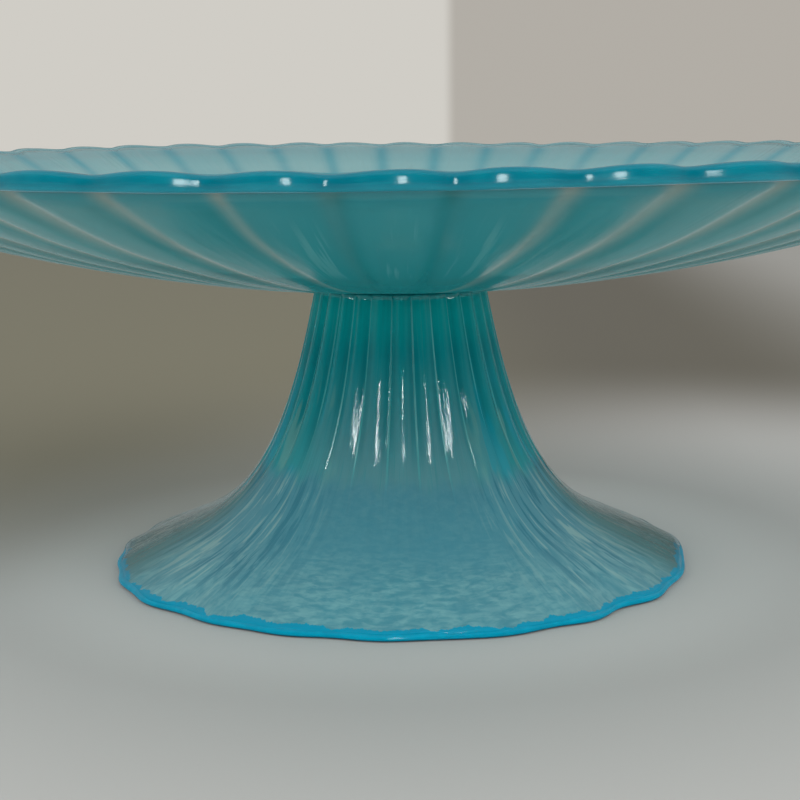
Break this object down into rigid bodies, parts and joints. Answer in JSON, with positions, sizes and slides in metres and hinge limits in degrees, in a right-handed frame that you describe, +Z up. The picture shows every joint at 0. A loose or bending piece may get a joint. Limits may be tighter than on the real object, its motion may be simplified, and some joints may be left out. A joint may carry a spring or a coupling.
{
  "type": "cake stand",
  "caption": "Footed cake stand in opal blue glass: a shallow lobed dish with a scalloped rim on a hollow, fluted, flared foot, both edges finished with a deeper blue lip.",
  "frame": {"origin": "centre of the ring the stand rests on, on the stand's axis, at table height", "axes": "+Z up along the stand's axis, -Y towards the front, +X to the right"},
  "size_m": [0.304, 0.3046, 0.1039],
  "materials": {
    "dish_glass": "glossy opal blue glass, milky on the lobes, clearer in the grooves",
    "dish_lip_glass": "glossy saturated teal blue glass bead",
    "foot_glass": "glossy opal blue glass, see-through at the neck, milky and dimpled on the flare",
    "foot_lip_glass": "glossy bright blue glass bead",
    "joint_glass": "glossy dense teal glass"
  },
  "bodies": {
    "root": {"plate": "dish_glass", "plate_rim_lip": "dish_lip_glass", "pedestal": "foot_glass", "foot_rim_lip": "foot_lip_glass", "joint_disc": "joint_glass"}
  },
  "joints": []
}
